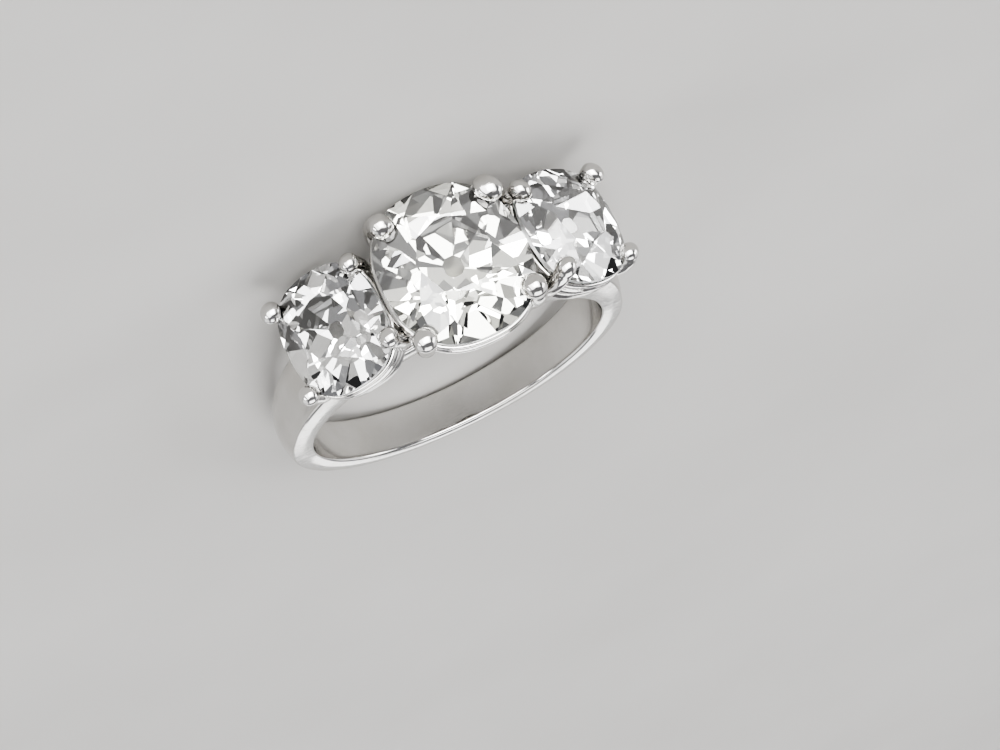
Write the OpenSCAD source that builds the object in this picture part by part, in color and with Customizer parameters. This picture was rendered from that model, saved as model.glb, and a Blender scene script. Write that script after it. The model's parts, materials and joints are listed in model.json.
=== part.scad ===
// A three-stone ring: three cushion-shaped old mine cut stones, each in a four-prong setting of its own,
// on a plain band. It lies on its side, on the edge of the middle setting and the back of the band.
// Millimetres, +Z up. The row of stones runs along X and the stones face -Y.
// Each setting is drawn with its girdle at height 0, its stone facing +Z, X along the row and Y along the finger.

/* [Band] */
// Inside diameter, a finger size
finger_d = 17; // [15:0.1:19]
// Wall at the back of the band
band_wall = 1.35; // [1.2:0.05:1.6]
// How much thicker the wall is under the stones
head_wall_more = 0.3; // [0:0.05:0.4]
// Width at the back of the band
back_w = 2.3; // [2:0.1:2.8]
// Width under the stones
head_w = 3.4; // [3:0.1:3.8]
// Rise of the rounded outside across the full width
dome_rise = 0.45; // [0.2:0.05:0.6]

/* [Row of stones] */
// Distance of the middle girdle from the finger's axis
center_reach = 14.2; // [14:0.1:15]
// Distance of the side girdles from the finger's axis
side_reach = 13.92; // [13.6:0.1:14.4]
// Turn of each side stone round the finger
side_turn = 28.2; // [27.8:0.2:31]

/* [Middle stone] */
// Width along the row
center_w = 7.7; // [7.2:0.1:7.8]
// Length along the finger
center_l = 8.48; // [7.8:0.1:8.8]
// Squareness of the outline, 2 is an ellipse
center_square = 2.4; // [2.1:0.1:3]
// Height of the crown above the girdle
center_crown = 1.38; // [1.1:0.05:1.6]
// Depth of the pavilion below the girdle
center_depth = 3.2; // [2.9:0.05:3.3]

/* [Side stones] */
// Width along the row
side_w = 5.64; // [5.2:0.1:5.8]
// Length along the finger
side_l = 6.56; // [6:0.1:7]
// Squareness of the outline, 2 is an ellipse
side_square = 2.6; // [2.1:0.1:3]
// Height of the crown above the girdle
side_crown = 1.05; // [0.9:0.05:1.2]
// Depth of the pavilion below the girdle
side_depth = 2.35; // [2.1:0.05:2.6]

/* [Cut of the stones] */
// Size of the table, as a share of the outline
table_share = 0.5; // [0.42:0.01:0.58]
// Size of the small flat at the point, as a share of the outline
culet_share = 0.13; // [0.06:0.01:0.16]
// Thickness of the girdle
girdle_t = 0.18; // [0.1:0.02:0.24]
// Width of the gap between stone and metal, as a share of the stone
seat_gap = 0.02; // [0.015:0.005:0.03]

/* [Settings] */
// Wire diameter of the middle prongs
center_wire = 1.1; // [0.9:0.05:1.2]
// Wire diameter of the side prongs
side_wire = 0.95; // [0.8:0.05:1.05]
// How much larger than the wire the prong's ball end is
ball_share = 1.2; // [1.1:0.02:1.25]
// Height of the ball's centre above the girdle
ball_rise = 0.58; // [0.5:0.02:0.7]
// Wall of the rails
rail_wall = 0.6; // [0.5:0.05:0.7]
// How far the upper rail stands out beyond the girdle
rail_proud = 0.1; // [0.05:0.01:0.12]
// Height of the upper rail
upper_rail_h = 0.85; // [0.6:0.05:1]
// Height of the lower rail
lower_rail_h = 0.6; // [0.5:0.05:0.8]

/* [Hidden] */
$fn = 96;
// Larger than anything that it cuts or is cut by
big = 60;
// A little extra, so that two shapes overlap and their faces do not coincide
over = 0.05;

// Band
bore_r = finger_d / 2;
band_r = bore_r + band_wall + head_wall_more / 2;
dome_r = (head_w * head_w / 4 + dome_rise * dome_rise) / (2 * dome_rise);
// The sides of the band lean towards each other from the stones to the back
side_lean = atan((head_w - back_w) / 2 / (2 * band_r));
// The shoulders rise out of the band near its widest points, towards the side settings
shoulder_r = 16;
shoulder_sink = 0.06;
// They end this far outside the middle of the side settings
shoulder_in = 0.3;

// Settings
upper_rail_top = -0.3;
// Depth of the lower rail's underside, as a share of the pavilion
lower_rail_drop = 0.8;
side_low = lower_rail_drop * side_depth;
// The prongs lean in from just outside the girdle down to the band
elbow_out = 0.2;
foot_share = 0.36;
// The ends of the prongs, as shares of the stone's half width and half length
// along the row, along the finger
center_prongs = [
    [0.66, -0.74],
    [-0.83, -0.65],
    [-0.78, 0.70],
    [0.82, 0.77]
];
left_prongs = [
    [0.87, -0.73],
    [-0.87, -0.71],
    [0.91, 0.73],
    [-0.92, 0.64]
];
right_prongs = [
    [0.82, -0.68],
    [-0.90, -0.71],
    [-0.79, 0.73],
    [0.71, 0.75]
];

// Facets: eight mains round the stone, with a pair of small facets between each two at the girdle
mains = 8;
main_step = 360 / mains;
// The mains start a little outside the girdle, so that they end there in a point
main_out = 1.02;
// How much steeper the girdle facets are than the mains, as shares of the mains' run
upper_half_run = 0.84;
lower_half_run = 0.9;
star_lean = 23;

// Where the ring touches the surface that it lies on
front_drop = center_l / 2 + rail_proud;
front_reach = center_reach + upper_rail_top - upper_rail_h;
back_drop = back_w / 2;
back_reach = band_r - head_wall_more / 2 - dome_r + sqrt(dome_r * dome_r - back_drop * back_drop);
rest_tilt = atan((front_drop - back_drop) / (front_reach + back_reach));
rest_lift = back_reach * sin(rest_tilt) + back_drop * cos(rest_tilt);
// The middle of the ring's footprint lies at Y 0
table_front = (center_reach + girdle_t / 2 + center_crown) * cos(rest_tilt)
    + table_share * center_l / 2 * sin(rest_tilt);
band_back = (band_r - head_wall_more / 2 - dome_r) * cos(rest_tilt) + dome_r;
rest_shift = (table_front - band_back) / 2;

// Distance of the girdle's tangent from the stone's axis, in the direction of an angle
function reach(w, l, p, turn) =
    let (q = p / (p - 1))
    pow(pow(abs(w / 2 * cos(turn)), q) + pow(abs(l / 2 * sin(turn)), q), 1 / q);

// Point of the girdle's outline towards a point given in shares of the half width and half length
function rim(share, w, l, p) =
    let (k = pow(pow(abs(share[0]), p) + pow(abs(share[1]), p), -1 / p))
    [k * share[0] * w / 2, k * share[1] * l / 2];

// Point of the girdle's outline at an angle
function outline_point(w, l, p, turn) = rim([cos(turn), sin(turn)], w, l, p);

// Point moved outwards along its own direction
function outwards(point, by) = point * (1 + by / norm(point));

// Lays the ring on its side
module at_rest() {
    translate([0, rest_shift, rest_lift]) rotate([-rest_tilt, 0, 0]) children();
}

// Puts a setting or stone at its place in the row
module in_row(turn, distance) {
    rotate([0, 0, turn]) translate([0, -distance, 0]) rotate([90, 0, 0]) children();
}

// The half of space under a plane that leans outwards at an angle and goes through a point
module below_plane(turn, lean, out, height) {
    rotate([0, 0, turn])
        translate([out, 0, height])
            rotate([0, lean, 0])
                translate([-big / 2, -big / 2, -big]) cube(big);
}

// One flat facet, from a distance at the girdle up to a distance at the top
module facet(turn, girdle_out, top_out, rise) {
    below_plane(turn, atan(rise / (girdle_out - top_out)), girdle_out, 0);
}

// The mains and girdle facets of one side of a stone
module facets(w, l, p, rise, top_share, half_run) {
    intersection_for (i = [0 : mains - 1]) {
        turn = i * main_step;
        out = reach(w, l, p, turn);
        intersection() {
            facet(turn, out * main_out, out * top_share, rise);
            intersection_for (side = [-1, 1]) {
                half_turn = turn + side * main_step / 4;
                half_out = reach(w, l, p, half_turn);
                facet(half_turn, half_out, half_out * (1 - (1 - top_share) * half_run), rise);
            }
        }
    }
}

// The facets between the table and the mains
module stars(w, l, p, rise) {
    intersection_for (i = [0 : mains - 1]) {
        turn = (i + 0.5) * main_step;
        near = reach(w, l, p, turn - main_step / 2);
        far = reach(w, l, p, turn + main_step / 2);
        below_plane(turn, star_lean, (near + far) / 2 * table_share * cos(main_step / 2), rise);
    }
}

// A cushion-shaped old mine cut, with its girdle at height 0
module stone(w, l, p, crown, depth) {
    intersection() {
        translate([0, 0, -girdle_t / 2 - depth])
            linear_extrude(girdle_t + crown + depth)
                polygon([for (i = [0 : 31]) outline_point(w, l, p, (i + 0.5) * 360 / 32)]);
        translate([0, 0, girdle_t / 2]) {
            intersection() {
                facets(w, l, p, crown, table_share, upper_half_run);
                stars(w, l, p, crown);
            }
        }
        translate([0, 0, -girdle_t / 2])
            mirror([0, 0, 1]) facets(w, l, p, depth, culet_share, lower_half_run);
    }
}

module center_cut() {
    stone(center_w, center_l, center_square, center_crown, center_depth);
}

module side_cut() {
    stone(side_w, side_l, side_square, side_crown, side_depth);
}

// A cushion outline in eight arcs: four long sides and four round corners
module cushion(half_w, half_l, p) {
    side_arc = 1.6;
    corner = 1.01 * pow(2, -1 / p) * norm([half_w, half_l]);
    intersection() {
        circle(corner);
        translate([half_w - side_arc * half_w, 0]) circle(side_arc * half_w);
        translate([side_arc * half_w - half_w, 0]) circle(side_arc * half_w);
        translate([0, half_l - side_arc * half_l]) circle(side_arc * half_l);
        translate([0, side_arc * half_l - half_l]) circle(side_arc * half_l);
    }
}

// A flat-walled loop of metal that follows the stone's outline
module rail(half_w, half_l, p, top, height) {
    translate([0, 0, top - height])
        linear_extrude(height)
            difference() {
                cushion(half_w, half_l, p);
                cushion(half_w - rail_wall, half_l - rail_wall, p);
            }
}

// A round bar between two points
module bar(from, to, d) {
    run = to - from;
    translate(from)
        rotate([0, acos(run[2] / norm(run)), atan2(run[1], run[0])])
            cylinder(d = d, h = norm(run));
}

// A prong from the band up past the girdle, bent over the crown and rounded to a ball
module prong(share, w, l, p, wire, drop) {
    edge = rim(share, w, l, p);
    foot = [edge[0] * foot_share, edge[1] * foot_share, -drop];
    elbow_at = outwards(edge, elbow_out);
    elbow = [elbow_at[0], elbow_at[1], -girdle_t / 2];
    end = [share[0] * w / 2, share[1] * l / 2, ball_rise];
    bar(foot, elbow, wire);
    translate(elbow) sphere(d = wire * 1.03);
    bar(elbow, end, wire);
    translate(end) sphere(d = wire * ball_share);
}

// The rails and prongs of one setting; the prongs end inside the band
module setting(w, l, p, depth, prongs, wire, distance) {
    drop = distance - band_r + head_wall_more / 2;
    rail(w / 2 + rail_proud, l / 2 + rail_proud, p, upper_rail_top, upper_rail_h);
    low = lower_rail_drop * depth;
    // The lower rail runs through the prongs' middles at its own depth
    size = 1 - (1 - foot_share) * (low - lower_rail_h / 2) / drop;
    rail(
        size * w / 2 + rail_wall / 2,
        size * l / 2 + rail_wall / 2,
        p,
        -low + lower_rail_h,
        lower_rail_h
    );
    for (share = prongs) prong(share, w, l, p, wire, drop);
}

// A ring with a rounded outside, closed towards the finger only by what is cut from it later
module domed_ring(outer_r) {
    rotate_extrude($fn = 180)
        intersection() {
            translate([outer_r - dome_r, 0]) circle(dome_r);
            translate([outer_r - dome_r, -head_w / 2]) square([dome_r + over, head_w]);
        }
}

// The rise of the band under the outer half of a side setting
module shoulder(side) {
    intersection() {
        translate([side * (band_r - shoulder_r - shoulder_sink), -head_wall_more / 2, 0])
            domed_ring(shoulder_r);
        translate([-big / 2, -big - head_wall_more / 2, -big / 2]) cube(big);
        in_row(side * side_turn, side_reach)
            translate([side > 0 ? shoulder_in : -big - shoulder_in, -big / 2, -big + over - side_low])
                cube(big);
    }
}

// The half of space on the inner side of one flat side of the band
module inside_face(side) {
    translate([0, -band_r, side * head_w / 2])
        rotate([-side * side_lean, 0, 0])
            translate([-big / 2, -big / 2, side > 0 ? -big : 0]) cube(big);
}

module band() {
    intersection() {
        union() {
            translate([0, -head_wall_more / 2, 0]) domed_ring(band_r);
            shoulder(1);
            shoulder(-1);
        }
        inside_face(1);
        inside_face(-1);
    }
}

module ring_mount() {
    color("gainsboro")
        at_rest()
            difference() {
                union() {
                    band();
                    in_row(0, center_reach)
                        setting(center_w, center_l, center_square, center_depth, center_prongs, center_wire,
                            center_reach);
                    in_row(side_turn, side_reach)
                        setting(side_w, side_l, side_square, side_depth, left_prongs, side_wire, side_reach);
                    in_row(-side_turn, side_reach)
                        setting(side_w, side_l, side_square, side_depth, right_prongs, side_wire, side_reach);
                }
                cylinder(r = bore_r, h = big, center = true, $fn = 180);
                in_row(0, center_reach) scale(1 + seat_gap) center_cut();
                in_row(side_turn, side_reach) scale(1 + seat_gap) side_cut();
                in_row(-side_turn, side_reach) scale(1 + seat_gap) side_cut();
            }
}

module center_stone() {
    color("ivory") at_rest() in_row(0, center_reach) center_cut();
}

module left_stone() {
    color("aliceblue") at_rest() in_row(side_turn, side_reach) side_cut();
}

module right_stone() {
    color("aliceblue") at_rest() in_row(-side_turn, side_reach) side_cut();
}

ring_mount();
center_stone();
left_stone();
right_stone();
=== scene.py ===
import json
import math
import random

import bmesh
import bpy
import numpy as np
from mathutils import Matrix, Vector


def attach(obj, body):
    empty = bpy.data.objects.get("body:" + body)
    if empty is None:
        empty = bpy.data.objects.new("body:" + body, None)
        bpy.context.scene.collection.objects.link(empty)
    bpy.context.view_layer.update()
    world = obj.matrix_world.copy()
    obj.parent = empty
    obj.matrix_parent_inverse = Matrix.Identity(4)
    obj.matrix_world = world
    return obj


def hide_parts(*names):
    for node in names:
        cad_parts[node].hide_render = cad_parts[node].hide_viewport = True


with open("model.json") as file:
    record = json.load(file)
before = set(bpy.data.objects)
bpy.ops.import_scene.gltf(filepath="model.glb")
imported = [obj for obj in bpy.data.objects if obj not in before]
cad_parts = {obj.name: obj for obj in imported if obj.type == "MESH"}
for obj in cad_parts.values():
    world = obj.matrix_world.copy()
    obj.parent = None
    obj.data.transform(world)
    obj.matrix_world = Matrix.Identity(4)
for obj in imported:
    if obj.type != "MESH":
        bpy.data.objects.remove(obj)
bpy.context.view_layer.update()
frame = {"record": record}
print("frame loaded")

mm = 0.001  # the ring's own sizes are given in millimetres, and Blender works in metres

# the ring lies on its side: its own axes come from the finger bore that the frame states
bore = next(m for m in frame["record"]["mounts"] if m["name"] == "finger_bore")
fingerAxis = Vector(bore["axis"]).normalized()
rowAxis = Vector((1, 0, 0))
ringTurn = Matrix((rowAxis, fingerAxis.cross(rowAxis), fingerAxis)).transposed()
ringPlace = Matrix.Translation(Vector(bore["pos_m"])) @ ringTurn.to_4x4()

row = {
    "centerReach": 14.2,  # distance of the middle girdle from the finger's axis
    "sideReach": 13.92,
    "sideTurn": 28.2,  # degrees round the finger
}
spots = {  # each stone's turn round the finger, and its distance from the axis
    "center": (0, row["centerReach"]),
    "left": (row["sideTurn"], row["sideReach"]),
    "right": (-row["sideTurn"], row["sideReach"]),
}


def stonePlace(turn, reach):
    return (
        ringPlace
        @ Matrix.Rotation(math.radians(turn), 4, "Z")
        @ Matrix.Translation((0, -reach * mm, 0))
        @ Matrix.Rotation(math.radians(90), 4, "X")
    )


places = {spot: stonePlace(*where) for spot, where in spots.items()}


# camera

view = {
    "azimuth": 10.36,  # degrees round the finger's axis, from straight in front of the stones
    "elevation": 16.5,
    "roll": 152.89,
    "distance": 195.7,
    "pixelsPerMm": 20,
    "seenAt": (453.55, 263.69),  # the middle girdle in the picture, in pixels
    "picture": (1000, 750),
    "sensor": 36,  # millimetres
    "clip": (0.01, 10),  # metres
}


def toward(azimuth, elevation):  # degrees round from straight in front, and degrees up
    azimuth, elevation = math.radians(azimuth), math.radians(elevation)
    level = math.cos(elevation)
    return Vector((math.sin(azimuth) * level, -math.cos(azimuth) * level, math.sin(elevation)))


def addObject(name, data):
    thing = bpy.data.objects.new(name, data)
    bpy.context.scene.collection.objects.link(thing)
    return thing


def addCamera():
    azimuth, roll = math.radians(view["azimuth"]), math.radians(view["roll"])
    back = toward(view["azimuth"], view["elevation"])
    level = Vector((math.cos(azimuth), math.sin(azimuth), 0))
    upright = back.cross(level)
    right = math.cos(roll) * level + math.sin(roll) * upright
    up = -math.sin(roll) * level + math.cos(roll) * upright
    focal = view["pixelsPerMm"] * view["distance"]
    across = (view["seenAt"][0] - view["picture"][0] / 2) * view["distance"] / focal
    above = (view["picture"][1] / 2 - view["seenAt"][1]) * view["distance"] / focal
    middle = Vector((0, -row["centerReach"], 0))
    data = bpy.data.cameras.new("camera")
    data.sensor_width = view["sensor"]
    data.lens = focal * view["sensor"] / view["picture"][0]
    data.clip_start, data.clip_end = view["clip"]
    local = Matrix((right, up, back)).transposed().to_4x4()
    local.translation = (middle - right * across - up * above + back * view["distance"]) * mm
    camera = addObject("camera", data)
    camera.matrix_world = ringPlace @ local
    bpy.context.scene.camera = camera


addCamera()
print("camera placed")


# shader helpers

black, white = (0, 0, 0), (1, 1, 1)


def newGroup(name, inputs, outputs):
    group = bpy.data.node_groups.new(name, "ShaderNodeTree")
    for label, default in inputs.items():
        socket = group.interface.new_socket(label, in_out="INPUT", socket_type="NodeSocketFloat")
        socket.default_value = default
    for label, kind in outputs.items():
        group.interface.new_socket(label, in_out="OUTPUT", socket_type=kind)
    return group, group.nodes.new("NodeGroupInput"), group.nodes.new("NodeGroupOutput")


def addNode(tree, kind, options=None, **sockets):
    node = tree.nodes.new(kind)
    for key, value in (options or {}).items():
        setattr(node, key, value)
    for key, value in sockets.items():
        target = node.inputs[key.replace("_", " ")]
        if isinstance(value, bpy.types.NodeSocket):
            tree.links.new(value, target)
        else:
            target.default_value = value
    return node


def addMath(tree, operation, first, second):
    node = tree.nodes.new("ShaderNodeMath")
    node.operation = operation
    for i, value in enumerate((first, second)):
        if isinstance(value, bpy.types.NodeSocket):
            tree.links.new(value, node.inputs[i])
        else:
            node.inputs[i].default_value = value
    return node.outputs[0]


def addFade(tree, factor, span, first, last):  # from one colour to another, over a span of the factor
    node = addNode(tree, "ShaderNodeValToRGB", Fac=factor)
    for stop, position, color in zip(node.color_ramp.elements, span, (first, last)):
        stop.position = position
        stop.color = (*color, 1)
    return node.outputs["Color"]


def addGroup(tree, group, **inputs):
    node = tree.nodes.new("ShaderNodeGroup")
    node.node_tree = group
    for key, value in inputs.items():
        node.inputs[key].default_value = value
    return node


def newMaterial(name, **values):
    material = bpy.data.materials.new(name)
    material.use_nodes = True
    tree = material.node_tree
    shader = tree.nodes["Principled BSDF"]
    for key, value in values.items():
        shader.inputs[key.replace("_", " ")].default_value = value
    return material, tree, shader


# effects that several materials share

polish = {
    "hairlines": ((0.4, 14), (1.9, 18), (2.7, 11)),  # each set's turn, and how thin it is drawn out
    "hairTwist": (1, 0.6, 1.7),  # how the turn is spread over the three axes
    "hairSpan": (0.6, 0.68),  # of the noise, from where a hairline starts to where it is whole
    "hairDepth": 0.05,
    "hairRough": 0.06,
    "hazeSpan": (0.42, 0.7),
    "dirtShadeSpan": (0.3, 0.6),
    "thinDirtShade": (0.6, 0.6, 0.6),
    "grimeRough": 0.3,
    "clearTone": (0.69, 0.68, 0.665),
    "hazyTone": (0.60, 0.585, 0.56),
    # the dark colour of dirt with painted shade, mixed into the metal's tone in recesses
    "dirtShadeTone": (0.16, 0.15, 0.135, 1),
}


def makeWornPolishAndShade():  # hand-polished metal: slow waves, hairlines, rubbed patches, and where none rubs, dirt that dulls it with painted shade that darkens it
    group, given, out = newGroup(
        "wornPolishAndShade",
        {
            "Wave scale": 500,
            "Scratch scale": 1500,
            "Haze scale": 260,
            "Smooth": 0.05,
            "Hazy": 0.16,
            "Dirt and shade": 0,
        },
        {"Height": "NodeSocketFloat", "Roughness": "NodeSocketFloat", "Tone": "NodeSocketColor"},
    )
    place = addNode(group, "ShaderNodeTexCoord").outputs["Object"]
    wave = addNode(group, "ShaderNodeTexNoise", Vector=place, Scale=given.outputs["Wave scale"], Detail=2)
    lines = None
    for turn, stretch in polish["hairlines"]:
        turned = addNode(
            group,
            "ShaderNodeMapping",
            Vector=place,
            Rotation=tuple(turn * share for share in polish["hairTwist"]),
            Scale=(1, stretch, stretch),
        )
        hair = addNode(
            group,
            "ShaderNodeTexNoise",
            Vector=turned.outputs[0],
            Scale=given.outputs["Scratch scale"],
            Detail=3,
        )
        sharp = addFade(group, hair.outputs[0], polish["hairSpan"], black, white)
        lines = sharp if lines is None else addMath(group, "MAXIMUM", lines, sharp)
    haze = addNode(
        group,
        "ShaderNodeTexNoise",
        Vector=place,
        Scale=given.outputs["Haze scale"],
        Detail=5,
        Roughness=0.65,
    )
    hazy = addFade(group, haze.outputs[0], polish["hazeSpan"], black, white)
    span = addMath(group, "SUBTRACT", given.outputs["Hazy"], given.outputs["Smooth"])
    rough = addMath(group, "ADD", addMath(group, "MULTIPLY", hazy, span), given.outputs["Smooth"])
    scored = addMath(group, "MULTIPLY", lines, polish["hairRough"])
    sunk = addMath(group, "MULTIPLY", lines, polish["hairDepth"])
    height = addMath(group, "SUBTRACT", wave.outputs[0], sunk)
    group.links.new(height, out.inputs["Height"])
    patchy = addFade(group, haze.outputs[0], polish["dirtShadeSpan"], polish["thinDirtShade"], white)
    dirtAndShade = addMath(group, "MULTIPLY", given.outputs["Dirt and shade"], patchy)
    dull = addMath(group, "MULTIPLY", dirtAndShade, polish["grimeRough"])
    rough = addMath(group, "ADD", addMath(group, "ADD", rough, scored), dull)
    group.links.new(rough, out.inputs["Roughness"])
    tone = addFade(group, hazy, (0, 1), polish["clearTone"], polish["hazyTone"])
    # painted shade with dirt: the tone darkens towards the dark colour wherever the mask lies
    soiledAndShaded = addNode(group, "ShaderNodeMixRGB", Fac=dirtAndShade, Color1=tone, Color2=polish["dirtShadeTone"])
    group.links.new(soiledAndShaded.outputs[0], out.inputs["Tone"])
    return group


film = {
    "scale": 420,
    "patches": (0.5, 0.72),  # of the noise, from clear to filmed
    "rough": 0.012,
    "tintScale": 170,
}


def makeStoneFilm():  # the faint film that a worn stone carries, and slow changes of its body colour
    group, given, out = newGroup(
        "stoneFilm",
        {"Film scale": film["scale"], "Film": film["rough"], "Tint scale": film["tintScale"]},
        {"Roughness": "NodeSocketFloat", "Tint": "NodeSocketFloat"},
    )
    place = addNode(group, "ShaderNodeTexCoord").outputs["Object"]
    smear = addNode(group, "ShaderNodeTexNoise", Vector=place, Scale=given.outputs["Film scale"], Detail=4)
    patches = addFade(group, smear.outputs[0], film["patches"], black, white)
    group.links.new(addMath(group, "MULTIPLY", patches, given.outputs["Film"]), out.inputs["Roughness"])
    tint = addNode(group, "ShaderNodeTexNoise", Vector=place, Scale=given.outputs["Tint scale"], Detail=1)
    group.links.new(tint.outputs[0], out.inputs["Tint"])
    return group


wornPolishAndShade = makeWornPolishAndShade()
stoneFilm = makeStoneFilm()


# materials

metalFinish = {
    "band": {
        "Wave scale": 420,
        "Scratch scale": 1100,
        "Haze scale": 220,
        "Smooth": 0.06,
        "Hazy": 0.2,
    },
    "setting": {
        "Wave scale": 900,
        "Scratch scale": 1900,
        "Haze scale": 420,
        "Smooth": 0.04,
        "Hazy": 0.13,
    },
    "waveDepth": 0.000012,  # metres
}
stoneFinish = {
    "refraction": 2.42,
    "centerTint": ((0.99, 0.99, 0.955), (0.955, 0.96, 0.87)),  # lightest and deepest body colour
    "sideTint": ((0.99, 0.99, 0.985), (0.965, 0.97, 0.955)),
    "tintSpan": (0.35, 0.65),
    "grainScale": 9000,
    "grainDepth": 0.000006,
    "frostSpan": (0.3, 0.7),
    "frost": ((0.28, 0.28, 0.28), (0.5, 0.5, 0.5)),  # roughness of the girdle
}


def makePlatinum(name, finish):
    material, tree, shader = newMaterial(name, Metallic=1.0)
    worn = addGroup(tree, wornPolishAndShade, **finish)
    # mask of dirt and painted shade, set on each point of the band and the settings
    dirtAndShade = addNode(tree, "ShaderNodeAttribute", {"attribute_name": "dirtAndShade"})
    tree.links.new(dirtAndShade.outputs["Fac"], worn.inputs["Dirt and shade"])
    depth = metalFinish["waveDepth"]
    bump = addNode(tree, "ShaderNodeBump", Height=worn.outputs["Height"], Distance=depth)
    tree.links.new(worn.outputs["Tone"], shader.inputs["Base Color"])
    tree.links.new(worn.outputs["Roughness"], shader.inputs["Roughness"])
    tree.links.new(bump.outputs[0], shader.inputs["Normal"])
    return material


def makeDiamond(name, tint):
    material, tree, shader = newMaterial(name, IOR=stoneFinish["refraction"], Transmission_Weight=1.0)
    worn = addGroup(tree, stoneFilm)
    body = addFade(tree, worn.outputs["Tint"], stoneFinish["tintSpan"], *tint)
    tree.links.new(body, shader.inputs["Base Color"])
    tree.links.new(worn.outputs["Roughness"], shader.inputs["Roughness"])
    return material


def makeGirdleFrost():  # ground but unpolished
    material, tree, shader = newMaterial(
        "girdleFrost", IOR=stoneFinish["refraction"], Transmission_Weight=1.0
    )
    place = addNode(tree, "ShaderNodeTexCoord").outputs["Object"]
    scale, depth = stoneFinish["grainScale"], stoneFinish["grainDepth"]
    grain = addNode(tree, "ShaderNodeTexNoise", Vector=place, Scale=scale, Detail=2)
    bump = addNode(tree, "ShaderNodeBump", Height=grain.outputs[0], Distance=depth)
    frost = addFade(tree, grain.outputs[0], stoneFinish["frostSpan"], *stoneFinish["frost"])
    tree.links.new(frost, shader.inputs["Roughness"])
    tree.links.new(bump.outputs[0], shader.inputs["Normal"])
    return material


bandMetal = makePlatinum("bandPlatinum", metalFinish["band"])
settingMetal = makePlatinum("settingPlatinum", metalFinish["setting"])
centerDiamond = makeDiamond("centerDiamond", stoneFinish["centerTint"])
sideDiamond = makeDiamond("sideDiamond", stoneFinish["sideTint"])
girdleFrost = makeGirdleFrost()
print("materials made")


# stones

centerCut = {
    "width": 7.7,
    "length": 8.48,
    "square": 2.4,  # 2 is an ellipse, more is squarer
    "crown": 1.38,
    "depth": 3.2,
    "seed": 4,
}
sideCut = {
    "width": 5.64,
    "length": 6.56,
    "square": 2.6,
    "crown": 1.05,
    "depth": 2.35,
    "seed": 11,
}
cuts = {"center": centerCut, "left": sideCut, "right": {**sideCut, "seed": 23}}
cutting = {
    "mains": 8,  # main facets of the crown, and of the pavilion
    "table": 0.5,  # share of the outline
    "culet": 0.13,
    "girdle": 0.18,
    "starLean": 23,
    "upperRun": 0.84,  # how far in a girdle facet runs, as a share of a main's run
    "lowerRun": 0.9,
    "mainOut": 1.02,
    "handTurn": 2.2,  # degrees that a facet may be turned off by, as cut by hand
    "handLean": 0.012,  # share of the outline that a facet may be set off by
    "starHand": (2, 0.03),  # degrees and share that a star may be off by
    "girdleSides": 96,
    "leastEdge": 0.00001,
}
crown, pavilion = 1, -1


def tangentReach(cut, turn):  # distance of the girdle's tangent from the stone's axis
    power = cut["square"] / (cut["square"] - 1)
    across = abs(cut["width"] / 2 * math.cos(math.radians(turn))) ** power
    along = abs(cut["length"] / 2 * math.sin(math.radians(turn))) ** power
    return (across + along) ** (1 / power)


def rimPoint(cut, x, y):  # point of the girdle towards a point given in shares
    scale = (abs(x) ** cut["square"] + abs(y) ** cut["square"]) ** (-1 / cut["square"])
    return np.array((scale * x * cut["width"] / 2, scale * y * cut["length"] / 2))


def outline(cut, offset, count):  # the girdle's outline, moved outwards
    angles = (np.arange(count) + 0.5) * 2 * math.pi / count
    points = np.array([rimPoint(cut, math.cos(a), math.sin(a)) for a in angles])
    along = np.roll(points, -1, axis=0) - np.roll(points, 1, axis=0)
    normal = np.stack((along[:, 1], -along[:, 0]), axis=1)
    normal /= np.linalg.norm(normal, axis=1)[:, None]
    return points + normal * offset


def facetPlane(turn, lean, out, height, side):
    turn, lean = math.radians(turn), math.radians(lean)
    flat = math.sin(lean)
    normal = Vector((math.cos(turn) * flat, math.sin(turn) * flat, side * math.cos(lean)))
    point = Vector((out * math.cos(turn), out * math.sin(turn), height))
    return point, normal


def stonePlanes(cut):
    hand = random.Random(cut["seed"])
    planes = []
    half = cutting["girdle"] / 2
    step = 360 / cutting["mains"]
    table, culet, mainOut = cutting["table"], cutting["culet"], cutting["mainOut"]
    starLean, starShift = cutting["starHand"]

    def add(turn, outLow, outHigh, rise, side):
        turned = turn + hand.uniform(-1, 1) * cutting["handTurn"]
        shifted = 1 + hand.uniform(-1, 1) * cutting["handLean"]
        lean = math.degrees(math.atan(rise / (outLow - outHigh * shifted)))
        planes.append(facetPlane(turned, lean, outLow, side * half, side))

    for i in range(cutting["mains"]):
        turn = step * i
        main = tangentReach(cut, turn)
        add(turn, main * mainOut, main * table, cut["crown"], crown)
        add(turn, main * mainOut, main * culet, cut["depth"], pavilion)
        for aside in (-step / 4, step / 4):
            out = tangentReach(cut, turn + aside)
            upper = out * (1 - (1 - table) * cutting["upperRun"])
            lower = out * (1 - (1 - culet) * cutting["lowerRun"])
            add(turn + aside, out, upper, cut["crown"], crown)
            add(turn + aside, out, lower, cut["depth"], pavilion)
        between = (main + tangentReach(cut, turn + step)) / 2 * table
        lean = cutting["starLean"] + hand.uniform(-starLean, starLean)
        out = between * math.cos(math.radians(step / 2)) * (1 + hand.uniform(-starShift, starShift))
        planes.append(facetPlane(turn + step / 2, lean, out, half + cut["crown"], crown))
    return planes


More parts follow.
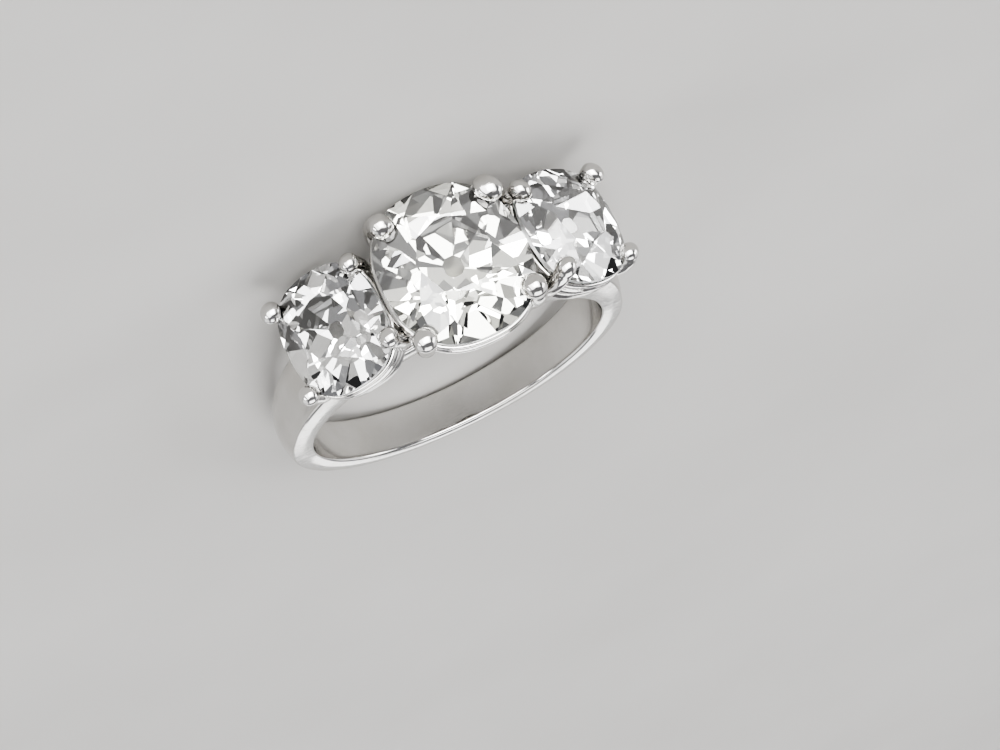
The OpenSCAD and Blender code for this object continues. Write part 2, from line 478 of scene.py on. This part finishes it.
def stoneBody(name, spot, gap):  # gap is how much larger than the stone, all round
    cut, sides = cuts[spot], cutting["girdleSides"]
    body = bmesh.new()
    half = cutting["girdle"] / 2
    rim = outline(cut, gap, sides)
    heights = (-half - cut["depth"] - gap, half + cut["crown"] + gap)
    bottom, top = ([body.verts.new((x, y, height)) for x, y in rim] for height in heights)
    body.faces.new(bottom[::-1])
    body.faces.new(top)
    for i in range(sides):
        j = (i + 1) % sides
        wall = body.faces.new((bottom[i], bottom[j], top[j], top[i]))
        wall.material_index = 1  # what is left of the wall is the frosted girdle
    for point, normal in stonePlanes(cut):
        everything = body.verts[:] + body.edges[:] + body.faces[:]
        point = point + normal * gap
        bmesh.ops.bisect_plane(body, geom=everything, plane_co=point, plane_no=normal, clear_outer=True)
        opened = [e for e in body.edges if len(e.link_faces) == 1]
        if opened:
            made = bmesh.ops.contextual_create(body, geom=opened)
            for facet in made["faces"]:
                facet.material_index = 0
    bmesh.ops.dissolve_degenerate(body, dist=cutting["leastEdge"], edges=body.edges[:])
    bmesh.ops.recalc_face_normals(body, faces=body.faces[:])
    bmesh.ops.scale(body, vec=(mm, mm, mm), verts=body.verts[:])
    bmesh.ops.transform(body, matrix=places[spot], verts=body.verts[:])
    mesh = bpy.data.meshes.new(name)
    body.to_mesh(mesh)
    body.free()
    return addObject(name, mesh)


def cutStone(name, spot, polished):
    stone = stoneBody(name, spot, 0)
    stone.data.materials.append(polished)
    stone.data.materials.append(girdleFrost)
    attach(stone, "root")
    return stone


centerStone = cutStone("middleOldMineCut", "center", centerDiamond)
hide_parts("center_stone")
leftStone = cutStone("leftOldMineCut", "left", sideDiamond)
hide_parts("left_stone")
rightStone = cutStone("rightOldMineCut", "right", sideDiamond)
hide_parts("right_stone")
print("stones cut")


# metal

band = {
    "bore": bore["dims"]["r_mm"],
    "outer": 10.0,
    "shift": 0.15,  # the outside's centre lies this far towards the stones
    "headWidth": 3.4,
    "backWidth": 2.3,
    "domeRise": 0.45,
    "shoulder": 16.0,  # radius of the rise towards the side settings
    "shoulderSink": 0.06,
    "shoulderSpan": (24, 40),  # degrees from the middle stone, where the rise sets in and is whole
    "shoulderSoft": 0.3,  # how gently the shoulder runs out into the hoop
    "softSpans": ((15, 35), (55, 85)),  # degrees over which that softness comes and goes
    "sideSwell": 0.05,  # rounding of the side faces
    "innerRound": 0.16,
    "outerRound": 0.2,
    "dirtShadeEnds": (30, 42),  # degrees to which dirt and painted shade lie on the band, under the settings
    "dirtShadeDepths": (0.3, 0.08),  # below the ridge, where the dirt and painted shade begin and where they are thickest
    "around": 320,
    "steps": (13, 6, 9, 7, 11),  # points of the inside, its edge, a side, the outer edge, half the dome
}


def sweepFaces(count, ringSize):  # quads of a closed tube of closed rings
    i, j = np.meshgrid(np.arange(count), np.arange(ringSize), indexing="ij")
    iNext, jNext = (i + 1) % count, (j + 1) % ringSize
    corners = (i * ringSize + j, iNext * ringSize + j, iNext * ringSize + jNext, i * ringSize + jNext)
    return np.stack(corners, axis=-1).reshape(-1, 4)


def smoothStep(value, low, high):
    t = np.clip((value - low) / (high - low), 0, 1)
    return t * t * (3 - 2 * t)


def bandReach(polar):  # distance of the band's ridge from the finger's axis; polar 0 is under the stones
    shift, outer = band["shift"], band["outer"]
    plain = shift * math.cos(polar) + math.sqrt(outer**2 - (shift * math.sin(polar)) ** 2)
    if abs(polar) > math.pi / 2:
        return plain
    middle = np.array((outer - band["shoulder"] - band["shoulderSink"], shift))
    outward = np.array((abs(math.sin(polar)), math.cos(polar)))
    along = middle @ outward
    raised = along + math.sqrt(band["shoulder"] ** 2 - (middle @ middle - along**2))
    turn = math.degrees(abs(polar))
    step = (raised - plain) * smoothStep(turn, *band["shoulderSpan"])
    comes, goes = band["softSpans"]
    soft = band["shoulderSoft"] * (1 - smoothStep(turn, *goes)) * smoothStep(turn, *comes)
    return plain + (step + math.hypot(step, soft)) / 2


def bandSection(polar):  # (radius, height) points round the wall
    insideSteps, innerSteps, sideSteps, outerSteps, domeSteps = band["steps"]
    ridge, start = bandReach(polar), band["bore"]
    dome = (band["headWidth"] ** 2 / 4 + band["domeRise"] ** 2) / (2 * band["domeRise"])
    lean = (band["headWidth"] - band["backWidth"]) / 2 / (2 * band["outer"])

    def halfWidth(radius):
        return band["headWidth"] / 2 - (band["outer"] - radius * math.cos(polar)) * lean

    inner, outer = band["innerRound"], band["outerRound"]
    wide, edge = halfWidth(start), halfWidth(ridge)
    rim = ridge - dome + math.sqrt(dome**2 - (edge - outer) ** 2)
    points = [(start, t * (wide - inner)) for t in np.linspace(-1, 1, insideSteps)]
    for t in np.linspace(0, math.pi / 2, innerSteps)[1:]:
        points.append((start + inner * (1 - math.cos(t)), wide - inner + inner * math.sin(t)))
    for t in np.linspace(0, 1, sideSteps)[1:-1]:
        swell = band["sideSwell"] * math.sin(math.pi * t)
        across = start + inner + (rim - outer - start - inner) * t
        points.append((across, wide + (edge - wide) * t + swell))
    for t in np.linspace(0, math.pi / 2, outerSteps):
        points.append((rim - outer + outer * math.sin(t), edge - outer + outer * math.cos(t)))
    for t in np.linspace(1, 0, domeSteps)[1:]:
        height = (edge - outer) * t
        points.append((ridge - dome + math.sqrt(dome**2 - height**2), height))
    upper = points[insideSteps:]
    return points + [(radius, -height) for radius, height in upper[-2::-1]]


def setDirtAndShade(mesh, amounts):  # how much dirt and painted shade lie on each point of the metal
    layer = mesh.attributes.new("dirtAndShade", "FLOAT", "POINT")
    layer.data.foreach_set("value", np.asarray(amounts, dtype=np.float32))


def addMesh(name, vertices, faces, material, place):
    mesh = bpy.data.meshes.new(name)
    corners = [tuple(int(i) for i in face) for face in faces]
    mesh.from_pydata((np.asarray(vertices) * mm).tolist(), [], corners)
    body = bmesh.new()
    body.from_mesh(mesh)
    bmesh.ops.recalc_face_normals(body, faces=body.faces[:])
    body.to_mesh(mesh)
    body.free()
    mesh.transform(place)
    mesh.materials.append(material)
    mesh.shade_smooth()
    return addObject(name, mesh)


def makeBand():
    vertices, dirtAndShade = [], []
    for polar in np.linspace(-math.pi, math.pi, band["around"], endpoint=False):
        # dirt and painted shade lie on the band under the settings, thickest near the ridge where they
        # stand
        under = 1 - smoothStep(abs(math.degrees(polar)), *band["dirtShadeEnds"])
        ridge = bandReach(polar)
        dirtShadeFrom, dirtShadeTo = (ridge - depth for depth in band["dirtShadeDepths"])
        for radius, height in bandSection(polar):
            vertices.append((radius * math.sin(polar), -radius * math.cos(polar), height))
            dirtAndShade.append(under * smoothStep(radius, dirtShadeFrom, dirtShadeTo))
    ringSize = len(vertices) // band["around"]
    piece = addMesh("band", vertices, sweepFaces(band["around"], ringSize), bandMetal, ringPlace)
    setDirtAndShade(piece.data, dirtAndShade)
    return piece


bandPiece = makeBand()
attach(bandPiece, "root")
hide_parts("ring_mount")
print("band made")

# each prong's end: shares of the stone's half width and half length, then how far it swells, how far it
# is drawn out along the wire, and how broad it is along the girdle
prongEnds = {
    "center": [
        (0.66, -0.74, 1.36, 0.88, 0.86),
        (-0.83, -0.65, 1.25, 0.85, 1.2),
        (-0.78, 0.70, 1.28, 0.98, 0.93),
        (0.82, 0.77, 1.2, 0.95, 1.0),
    ],
    "left": [
        (0.87, -0.73, 1.15, 0.92, 1.08),
        (-0.87, -0.71, 1.18, 1.0, 0.96),
        (0.91, 0.73, 1.12, 0.95, 1.0),
        (-0.92, 0.64, 1.12, 0.9, 1.05),
    ],
    "right": [
        (0.82, -0.68, 1.4, 0.85, 0.78),
        (-0.90, -0.71, 1.06, 0.95, 1.28),
        (-0.79, 0.73, 1.04, 0.95, 1.1),
        (0.71, 0.75, 1.16, 1.2, 1.0),
    ],
}
prongs = {
    "wire": {"center": 0.55, "left": 0.475, "right": 0.475},  # radius
    "footShare": (0.42, 0.27),  # where a prong stands on the band, across the hoop and along the finger
    "footFlare": 1.45,
    "flareRun": 0.3,  # share of the stem over which the flare runs out
    "stemWire": 0.94,  # share of the wire that the stem is filed down to
    "outerDrop": 0.8,  # how far down the outer prongs reach, as they stand on the shoulders
    "bow": 0.5,  # share of the height at which a prong has bowed fully outwards
    "elbowOut": 0.2,
    "elbowRun": 0.25,  # how far past the girdle the bend ends
    "ballRise": 0.58,
    "ballCover": 0.999,  # share of the ball that its rings reach
    "tip": 0.01,  # radius of the last ring
    "broadSpan": (-0.3, 0.35),  # heights between which the end takes on its breadth
    "stemSteps": 40,
    "elbowStart": 5,  # steps before the girdle at which the bend begins
    "elbowSteps": 10,
    "ballSteps": 24,
    "sides": 28,
}
rails = {
    "top": -0.3,
    "height": 0.85,
    "wall": 0.6,
    "proud": 0.1,
    "bend": 0.13,  # radius of its outer edges
    "bendSteps": 5,
    "groove": 0.09,
    "groovePlace": 0.42,  # share of the height, from the top
    "grooveMouth": 0.12,  # half widths of the groove
    "grooveFloor": 0.04,
    "lowHeight": 0.6,
    "lowDrop": 0.8,  # share of the pavilion's depth
    "lowSteps": 60,
    "sides": 160,
}
settings = {
    "seatGap": 0.015,
    "voxel": 0.055,
    "relax": (0.5, 5),  # strength and rounds of the smoothing that softens the solder joints
    "weld": 0.001,  # points that lie nearer than this are joined after the seats are cut
    "sharpAngle": 38,
    "dirtShadeDepth": (0.7, 2.1),  # below the girdle, where dirt and painted shade begin and where they are thickest
    "dirtShadeOpen": 0.25,  # share of the dirt and painted shade that also lies on sides that face away from the stone
    "dirtShadeTurn": 0.5,  # how far a side may face outwards and still take dirt and painted shade
    "axisLeast": 0.01,  # so that no distance from the stone's axis is nought
}


def tube(path, radii):  # closed at both ends
    path, radii = np.asarray(path, float), np.asarray(radii, float)
    sides = prongs["sides"]
    tangent = np.gradient(path, axis=0)
    tangent /= np.linalg.norm(tangent, axis=1)[:, None]
    across = np.cross(tangent[0], (0.0, 0.0, 1.0))
    rings = []
    angles = np.linspace(0, 2 * math.pi, sides, endpoint=False)
    for point, run, radius in zip(path, tangent, radii):
        across = across - run * (across @ run)
        across /= np.linalg.norm(across)
        beside = np.cross(run, across)
        circle = np.outer(np.cos(angles), across) + np.outer(np.sin(angles), beside)
        rings.append(point + radius * circle)
    count = len(rings)
    vertices = np.concatenate(rings + [path[:1], path[-1:]])
    faces = []
    for i in range(count - 1):
        for j in range(sides):
            k = (j + 1) % sides
            faces.append((i * sides + j, i * sides + k, (i + 1) * sides + k, (i + 1) * sides + j))
    for j in range(sides):
        k = (j + 1) % sides
        faces.append((count * sides, k, j))
        faces.append((count * sides + 1, (count - 1) * sides + j, (count - 1) * sides + k))
    return vertices, faces


def bowed(start, bend, end, t):  # the point at share t of a curve that leans towards its bend
    return (1 - t) ** 2 * start + 2 * t * (1 - t) * bend + t**2 * end


def stemPath(drop, steps):  # (share across, share along, height) from the band up to the girdle
    low = np.array((*prongs["footShare"], -drop))
    bend = np.array((1, 1, -drop * prongs["bow"]))
    high = np.array((1, 1, -cutting["girdle"] / 2))
    return bowed(low, bend, high, np.linspace(0, 1, steps)[:, None])


def prongShape(prong, cut, wire, drop):  # a bowed wire that swells to a flattened ball
    shareX, shareY, swell, drawn, broad = prong
    edge = rimPoint(cut, shareX, shareY)
    out = edge * (1 + prongs["elbowOut"] / np.linalg.norm(edge))
    stem = stemPath(drop, prongs["stemSteps"]) * (*out, 1)
    elbow = stem[-1]
    end = np.array((shareX * cut["width"] / 2, shareY * cut["length"] / 2, prongs["ballRise"]))
    last = (end - elbow) / np.linalg.norm(end - elbow)
    path, radii = [], []
    thin = prongs["stemWire"]
    under = stem[: -prongs["elbowStart"]]
    for i, point in enumerate(under):  # flared where it is soldered on
        left = 1 - smoothStep(i / len(under), 0, prongs["flareRun"])
        path.append(point)
        radii.append(wire * thin * (1 + (prongs["footFlare"] - 1) * left))
    for t in np.linspace(0, 1, prongs["elbowSteps"])[1:]:  # the bend over the girdle
        path.append(bowed(under[-1], elbow, elbow + last * prongs["elbowRun"], t))
        radii.append(wire * (thin + (1 - thin) * t))
    start, ball = path[-1], wire * swell
    reach = np.linalg.norm(end - start)
    for t in np.linspace(0, 1, prongs["ballSteps"])[1:]:  # the ball end
        travel = t * (reach + ball * drawn * prongs["ballCover"])
        path.append(start + last * travel)
        offset = (travel - reach) / drawn
        sphere = math.sqrt(max(ball**2 - offset**2, 0))
        radii.append(max(sphere, wire if offset < 0 else 0, prongs["tip"]))
    vertices, faces = tube(path, radii)
    girdleRun = np.array((-edge[1], edge[0], 0)) / np.linalg.norm(edge)
    near = smoothStep(vertices[:, 2], *prongs["broadSpan"]) * (broad - 1)
    vertices += np.outer((vertices - end) @ girdleRun * near, girdleRun)
    return vertices, faces


def railShape(cut, proud, top, height, groove):
    wall, bend = rails["wall"], rails["bend"]

    def corner(middle, start):  # (outwards, height) points of a rounded edge
        turns = [math.radians(start - a) for a in np.linspace(0, 90, rails["bendSteps"])]
        return [(proud - bend + bend * math.cos(a), middle + bend * math.sin(a)) for a in turns]

    section = corner(top - bend, 90)
    if groove:
        middle = top - height * rails["groovePlace"]
        mouth, floor = rails["grooveMouth"], rails["grooveFloor"]
        section += [(proud, middle + mouth), (proud - groove, middle + floor)]
        section += [(proud - groove, middle - floor), (proud, middle - mouth)]
    section += corner(top - height + bend, 0)
    section += [(proud - wall, top - height), (proud - wall, top)]
    loops = [outline(cut, out, rails["sides"]) for out, _ in section]
    vertices = []
    for i in range(rails["sides"]):
        vertices += [(*loop[i], level) for loop, (_, level) in zip(loops, section)]
    return np.array(vertices), sweepFaces(rails["sides"], len(section))


def lowRailShape(cut, drop):  # follows the prongs where they have drawn in under the stone
    low, height = rails["lowDrop"] * cut["depth"], rails["lowHeight"]
    across, along, heights = stemPath(drop, rails["lowSteps"]).T
    level = height / 2 - low
    small = {
        **cut,
        "width": cut["width"] * np.interp(level, heights, across),
        "length": cut["length"] * np.interp(level, heights, along),
    }
    return railShape(small, rails["wall"] / 2, height - low, height, 0)


def joined(shapes):
    vertices, faces, offset = [], [], 0
    for shapeVertices, shapeFaces in shapes:
        vertices.append(shapeVertices)
        faces += [tuple(int(i) + offset for i in face) for face in shapeFaces]
        offset += len(shapeVertices)
    return np.concatenate(vertices), faces


def applyModifiers(thing):
    evaluated = thing.evaluated_get(bpy.context.evaluated_depsgraph_get())
    mesh = bpy.data.meshes.new_from_object(evaluated)
    thing.modifiers.clear()
    old = thing.data
    thing.data = mesh
    bpy.data.meshes.remove(old)


def solder(thing):  # fuses the shapes and softens their joints
    remesh = thing.modifiers.new("remesh", "REMESH")
    remesh.mode = "VOXEL"
    remesh.voxel_size = settings["voxel"] * mm
    remesh.use_smooth_shade = True
    relax = thing.modifiers.new("relax", "SMOOTH")
    relax.factor, relax.iterations = settings["relax"]
    applyModifiers(thing)


def weld(mesh, within):  # joins points that a cut leaves on one another, and drops slivers folded flat
    work = bmesh.new()
    work.from_mesh(mesh)
    bmesh.ops.remove_doubles(work, verts=work.verts, dist=within)
    bmesh.ops.triangulate(work, faces=work.faces)
    onCorners = {}
    for face in work.faces:
        onCorners.setdefault(frozenset(face.verts), []).append(face)
    folded = [face for faces in onCorners.values() if len(faces) > 1 for face in faces]
    bmesh.ops.delete(work, geom=folded, context="FACES")
    work.to_mesh(mesh)
    work.free()


def cutSeats(thing, stones):  # the seats of the stones in the metal
    for stone in stones:
        cutter = thing.modifiers.new("seat", "BOOLEAN")
        cutter.operation = "DIFFERENCE"
        cutter.solver = "MANIFOLD"
        cutter.object = stone
    applyModifiers(thing)
    weld(thing.data, settings["weld"] * mm)


def galleryDirtAndShade(mesh):  # dirt that dulls the metal and painted shade that darkens it, low down, on the sides that face the stone
    points = np.empty(len(mesh.vertices) * 3, dtype=np.float32)
    facing = np.empty_like(points)
    mesh.vertices.foreach_get("co", points)
    mesh.vertices.foreach_get("normal", facing)
    points, facing = points.reshape(-1, 3) / mm, facing.reshape(-1, 3)
    low = smoothStep(-points[:, 2], *settings["dirtShadeDepth"])
    fromAxis = np.maximum(np.linalg.norm(points[:, :2], axis=1), settings["axisLeast"])[:, None]
    outward = points[:, :2] / fromAxis
    inside = np.clip(settings["dirtShadeTurn"] - (outward * facing[:, :2]).sum(axis=1), 0, 1)
    return low * (settings["dirtShadeOpen"] + (1 - settings["dirtShadeOpen"]) * inside)


def makeSetting(name, spot, seats):
    turn, distance = spots[spot]
    cut, wire = cuts[spot], prongs["wire"][spot]
    drop = distance - band["outer"] + band["shift"]
    shapes = []
    for prong in prongEnds[spot]:
        onShoulder = prong[0] * turn > 0
        shapes.append(prongShape(prong, cut, wire, drop * (prongs["outerDrop"] if onShoulder else 1)))
    shapes.append(railShape(cut, rails["proud"], rails["top"], rails["height"], rails["groove"]))
    shapes.append(lowRailShape(cut, drop))
    piece = addMesh(name, *joined(shapes), settingMetal, Matrix.Identity(4))
    solder(piece)
    # painted shade with dirt, darker low in the gallery under the stone
    setDirtAndShade(piece.data, galleryDirtAndShade(piece.data))
    piece.data.transform(places[spot])
    cutSeats(piece, seats)
    piece.data.materials.clear()
    piece.data.materials.append(settingMetal)
    piece.data.shade_smooth()
    piece.data.set_sharp_from_angle(angle=math.radians(settings["sharpAngle"]))
    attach(piece, "root")
    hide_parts("ring_mount")
    print(name, "made,", len(piece.data.polygons), "faces")
    return piece


seats = [stoneBody(f"{spot}Seat", spot, settings["seatGap"]) for spot in spots]
middleSetting = makeSetting("middleSetting", "center", seats)
leftSetting = makeSetting("leftSetting", "left", seats)
rightSetting = makeSetting("rightSetting", "right", seats)
for cutter in seats:
    bpy.data.objects.remove(cutter)


# floor, light and air

studio = {
    "floorSize": 0.8,  # metres
    "floorLight": (0.69, 0.68, 0.66),
    "floorDeep": (0.65, 0.64, 0.62),
    "cloudScale": 40,
    "cloudSpan": (0.35, 0.65),
    "horizon": (0.68, 0.68, 0.68),  # the air pales towards the horizon, so the floor runs out into it
    "zenith": (0.23, 0.23, 0.24),
    "airSpan": (0.02, 0.35),
    "boxDistance": 0.3,
    "cardHeight": 0.6,  # millimetres, as all of the cards' sizes
    "cardBrightness": 10,
    "fillHeight": 0.3,
    "fillBrightness": 0.4,
}

# azimuth from straight in front, elevation, width, height in metres, brightness and what catches it
softboxes = [
    (-2, 20, 0.26, 0.22, 3.9, "room"),
    (-14, 24, 0.24, 0.26, 3.3, "metal"),
    (34, 24, 0.22, 0.26, 3.3, "metal"),
    (-110, 28, 0.24, 0.2, 0.9, "metal"),
    (115, 28, 0.24, 0.2, 0.9, "metal"),
    (-16, 20, 0.14, 0.24, 5, "brightPair"),  # the gap between these two greys the facets round the culet
    (33, 20, 0.12, 0.22, 5, "brightPair"),
    (-16, 20, 0.14, 0.24, 3, "dimStone"),
    (33, 20, 0.12, 0.22, 3, "dimStone"),
    (75, 20, 0.05, 0.12, 6, "all"),
    (-80, 24, 0.1, 0.16, 4, "all"),
    (178, 72, 0.26, 0.2, 2.6, "all"),
    (178, 14, 0.3, 0.07, 1.6, "all"),
]
# cards of light on the floor before the stones, which those alone catch: place and size in mm; none lies
# where a table mirrors it towards the camera, because it would veil the facets below
lightCards = [
    (-14, -22, 7, 5),
    (-5, -21.3, 6.5, 4),
    (7, -24, 5, 5),
    (-10, -34, 8, 5),
    (5.5, -35, 8, 6),
    (-19.5, -30.5, 6.5, 6),
    (-4, -49.5, 16, 9),
    (-20, -23.5, 4, 3),
    (-26, -6, 6, 7),
    (8.2, -16.9, 5, 2.4),
    (10.5, -20, 4, 4),
    (19, -30.5, 5, 5),
    (25, -12, 4, 4),
    (-1, -15.2, 6, 2.8),
    (16.6, -22.4, 2, 2),
    (-8.6, -40, 3.4, 4),
    (-11.5, -18, 3, 3),
    (-31, -20, 5, 5),
    (-18.5, -13.9, 4, 2.8),
]
fillCard = (0, -34, 80, 44)  # broad and dim, so that it lifts the dark facets of two stones without a veil


def makePaleFloor():
    material, tree, shader = newMaterial("paleFloor", Roughness=1.0, Specular_IOR_Level=0.0)
    place = addNode(tree, "ShaderNodeTexCoord").outputs["Object"]
    cloud = addNode(tree, "ShaderNodeTexNoise", Vector=place, Scale=studio["cloudScale"], Detail=3)
    deep, light = studio["floorDeep"], studio["floorLight"]
    tone = addFade(tree, cloud.outputs[0], studio["cloudSpan"], deep, light)
    tree.links.new(tone, shader.inputs["Base Color"])
    return material


def addFloor():
    half = studio["floorSize"] / 2
    corners = [(-half, -half, 0), (half, -half, 0), (half, half, 0), (-half, half, 0)]
    mesh = bpy.data.meshes.new("floor")
    mesh.from_pydata(corners, [], [range(4)])
    mesh.materials.append(makePaleFloor())
    floor = addObject("floor", mesh)
    return floor


def addAir():
    air = bpy.data.worlds.new("studioAir")
    bpy.context.scene.world = air
    air.use_nodes = True
    tree = air.node_tree
    ray = addNode(tree, "ShaderNodeTexCoord").outputs["Generated"]
    height = addNode(tree, "ShaderNodeSeparateXYZ", Vector=ray).outputs["Z"]
    tone = addFade(tree, height, studio["airSpan"], studio["horizon"], studio["zenith"])
    tree.links.new(tone, tree.nodes["Background"].inputs["Color"])


def makeCatchers(floor):  # a light may be meant for some stones, for the metal or for all but stones
    metal = (bandPiece, middleSetting, leftSetting, rightSetting)
    groups = {
        "stones": (centerStone, leftStone, rightStone),
        "brightPair": (centerStone, rightStone),
        "dimStone": (leftStone,),  # it stands in less light than the other two
        "metal": metal,
        "room": (*metal, floor),
    }
    catchers = {"all": None}
    for label, things in groups.items():
        catchers[label] = bpy.data.collections.new(label)
        for thing in things:
            catchers[label].objects.link(thing)
    return catchers


def addPanel(name, place, width, height, brightness, catcher):  # a light that no camera sees
    data = bpy.data.lights.new(name, "AREA")
    data.shape = "RECTANGLE"
    data.size, data.size_y = width, height
    data.energy = brightness * math.pi * width * height
    panel = addObject(name, data)
    panel.matrix_world = place
    panel.visible_camera = False
    panel.light_linking.receiver_collection = catchers[catcher]


def addSoftbox(name, azimuth, elevation, width, height, brightness, catcher):
    away = toward(azimuth, elevation)
    turn = (-away).to_track_quat("-Z", "Y").to_matrix().to_4x4()
    place = Matrix.Translation(away * studio["boxDistance"]) @ turn
    addPanel(name, place, width, height, brightness, catcher)


def addCard(name, card, height, brightness, catcher):
    x, y, width, depth = (size * mm for size in card)
    upward = Matrix.Translation((x, y, height * mm)) @ Matrix.Rotation(math.pi, 4, "X")
    addPanel(name, upward, width, depth, brightness, catcher)


catchers = makeCatchers(addFloor())
addAir()
for i, softbox in enumerate(softboxes):
    addSoftbox(f"softbox{i}", *softbox)
for i, card in enumerate(lightCards):
    addCard(f"card{i}", card, studio["cardHeight"], studio["cardBrightness"], "stones")
addCard("fillCard", fillCard, studio["fillHeight"], studio["fillBrightness"], "brightPair")
bpy.context.scene.view_settings.look = "AgX - High Contrast"
print("studio lit")
